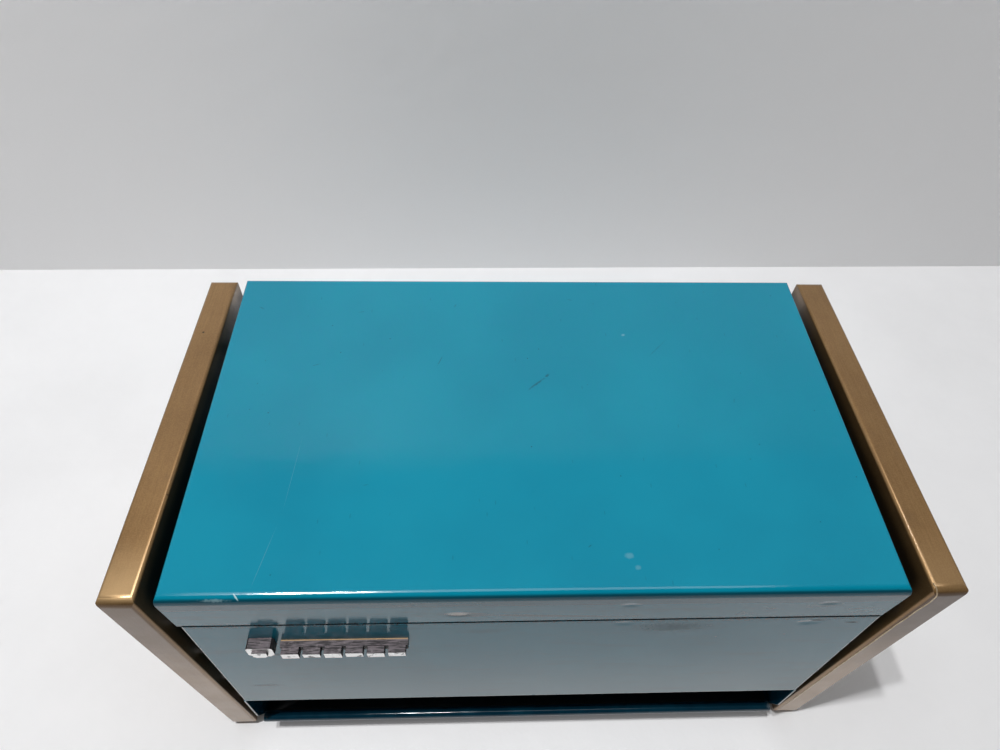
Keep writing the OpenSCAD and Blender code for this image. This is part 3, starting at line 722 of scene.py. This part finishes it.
# x, z, half width, half height, depth, all in millimetres
LID_DENTS = (
    (-40.0, 208.1, 8.0, 4.0, 0.35),
    (43.8, 218.0, 6.0, 3.2, 0.30),
    (142.7, 216.7, 6.5, 3.4, 0.34),
)
PANEL_DENTS = (
    (44.6, 192.6, 6.5, 3.4, 0.26),
    (-72.0, 190.5, 5.0, 2.6, 0.14),
    (142.0, 190.0, 8.5, 4.0, 0.34),
)


RIDGE_RADIUS = 0.36
RIDGE_CORNER = 5.0
RIDGE_CORNER_STEPS = 8
RIDGE_START, RIDGE_DRIFT = 0.7, 1.7
# height, and distance from the frame's inner face, down the front edge
RIDGE_LINE = (
    (219.5, 3.0), (214, 2.7), (209, 2.3), (200, 2.25), (192, 2.1), (187, 1.7), (183, 1.9), (170, 2.0),
    (155, 2.0), (136, 1.8), (118, 1.7), (92, 1.9), (66, 2.2), (40, 2.3), (14, 2.3),
)


def make_ridge(mat):
    """Fold of paint and metal that stands along the right end frame's front edge."""
    inner, front, top = FRAME_LOW.x, FRAME_LOW.y, FRAME_HIGH.z
    r = RIDGE_CORNER
    points = []
    for i in range(RIDGE_CORNER_STEPS + 1):
        share = i / RIDGE_CORNER_STEPS
        a = math.radians(90 + 90 * share)
        off = RIDGE_START + RIDGE_DRIFT * share ** 0.7
        points.append((inner + off, front + r + r * math.cos(a), top - r + r * math.sin(a)))
    points += [(inner + off, front - 0.02, z) for z, off in RIDGE_LINE]
    obj = bead("right_frame_ridge", points, RIDGE_RADIUS, mat)
    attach(obj, "case")


# ---------------------------------------------------------------- studio

WALL_Y = 0.3827
WALL_TOP = 0.965
WALL_YAW = math.radians(0.7)
# Painted shade: the wall is painted darker toward its top.
WALL_FADE = (500.0, 950.0)  # heights between which it darkens, in millimetres
WALL_COLOURS = ((0.97, 0.97, 0.975, 1), (0.64, 0.64, 0.65, 1))
FLOOR_HALF = 3.0
FLOOR_COLOURS = ((0.84, 0.84, 0.85, 1), (0.88, 0.88, 0.89, 1))
THROWN_STRENGTH = 0.15
# name, place, size (x, y), radiance, point it faces; places and sizes in metres
BOX_MIDDLE = (0.0, 0.0, 0.1)
LAMPS = (
    ("lamp_left", (-0.741, -0.312, 2.58), (0.05, 0.05), 2650.0, BOX_MIDDLE),
    ("lamp_right", (-0.446, -0.200, 2.28), (0.05, 0.05), 1980.0, BOX_MIDDLE),
    ("softbox", (0.0, -0.05, 1.9), (1.7, 0.7), 2.0, (0.0, -0.05, 0.0)),
)
# y of the view direction where the sky's ramp starts and ends, then its two strengths
SKY_RAMP = (-0.35, 0.3, 0.03, 0.36)


def sheet(name, corners, mat):
    mesh = bpy.data.meshes.new(name)
    mesh.from_pydata([Vector(c) for c in corners], [], [list(range(len(corners)))])
    obj = bpy.data.objects.new(name, mesh)
    obj.data.materials.append(mat)
    bpy.context.scene.collection.objects.link(obj)


def matt_paint(name, scale, rough):
    """A studio surface with a fine grain, still without its colour."""
    p = Paint(name)
    p.set(Roughness=rough, Specular_IOR_Level=0.3, Normal=p.bump(p.noise(scale * 8, 3.0), 0.0006))
    return p


def thrown_light(p):
    """Light the glossy front throws down on the floor, as a soft glow along the box's foot."""
    glow = p.times(p.span(p.math("ABSOLUTE", p.x), 215.0, 165.0), p.span(p.y, -175.0, -122.0),
                   p.span(p.y, -100.0, -112.0))
    p.set(Emission_Color=(1.0, 0.985, 0.99, 1), Emission_Strength=p.times(glow, THROWN_STRENGTH))


def make_studio():
    floor = matt_paint("floor_paint", 6.0, 0.5)
    cloud = floor.span(floor.noise(6.0, 4.0, 0.6), 0.3, 0.7)
    floor.set(Base_Color=floor.mix(cloud, *FLOOR_COLOURS))
    thrown_light(floor)
    wall = matt_paint("wall_paint", 5.0, 0.6)
    wall.set(Base_Color=wall.mix(wall.span(wall.z, *WALL_FADE), *WALL_COLOURS))
    s = FLOOR_HALF
    lean = s * math.tan(WALL_YAW)
    sheet("floor", [(-s, -s, 0), (s, -s, 0), (s, s, 0), (-s, s, 0)], floor.mat)
    sheet("wall", [(-s, WALL_Y - lean, 0), (s, WALL_Y + lean, 0), (s, WALL_Y + lean, WALL_TOP),
                   (-s, WALL_Y - lean, WALL_TOP)], wall.mat)


def lamp(name, at, size, radiance, aim):
    """A flat light of size (x, y) metres with the given radiance."""
    data = bpy.data.lights.new(name, "AREA")
    data.shape = "RECTANGLE"
    data.size, data.size_y = size
    data.energy = radiance * math.pi * size[0] * size[1]
    obj = bpy.data.objects.new(name, data)
    obj.location = at
    obj.rotation_euler = (Vector(aim) - Vector(at)).to_track_quat("-Z", "Y").to_euler()
    bpy.context.scene.collection.objects.link(obj)


def make_lights():
    for values in LAMPS:
        lamp(*values)
    world = bpy.data.worlds.new("studio")
    bpy.context.scene.world = world
    world.use_nodes = True
    nodes, links = world.node_tree.nodes, world.node_tree.links
    nodes.clear()
    out = nodes.new("ShaderNodeOutputWorld")
    back = nodes.new("ShaderNodeBackground")
    coord = nodes.new("ShaderNodeTexCoord")
    split = nodes.new("ShaderNodeSeparateXYZ")
    ramp = nodes.new("ShaderNodeMapRange")
    links.new(coord.outputs["Generated"], split.inputs[0])
    links.new(split.outputs[1], ramp.inputs[0])
    for socket, value in zip(ramp.inputs[1:5], SKY_RAMP):
        socket.default_value = value
    links.new(ramp.outputs[0], back.inputs["Strength"])
    links.new(back.outputs[0], out.inputs[0])


# ---------------------------------------------------------------- build

make_camera()
finish_nodes()
for node in NODES.values():
    round_edges(node)
dented("lid_shell", "lid_skin", LID_DENTS)
dented("front_panel", "panel_skin", PANEL_DENTS)
make_ridge(ridge_enamel())
make_studio()
make_lights()
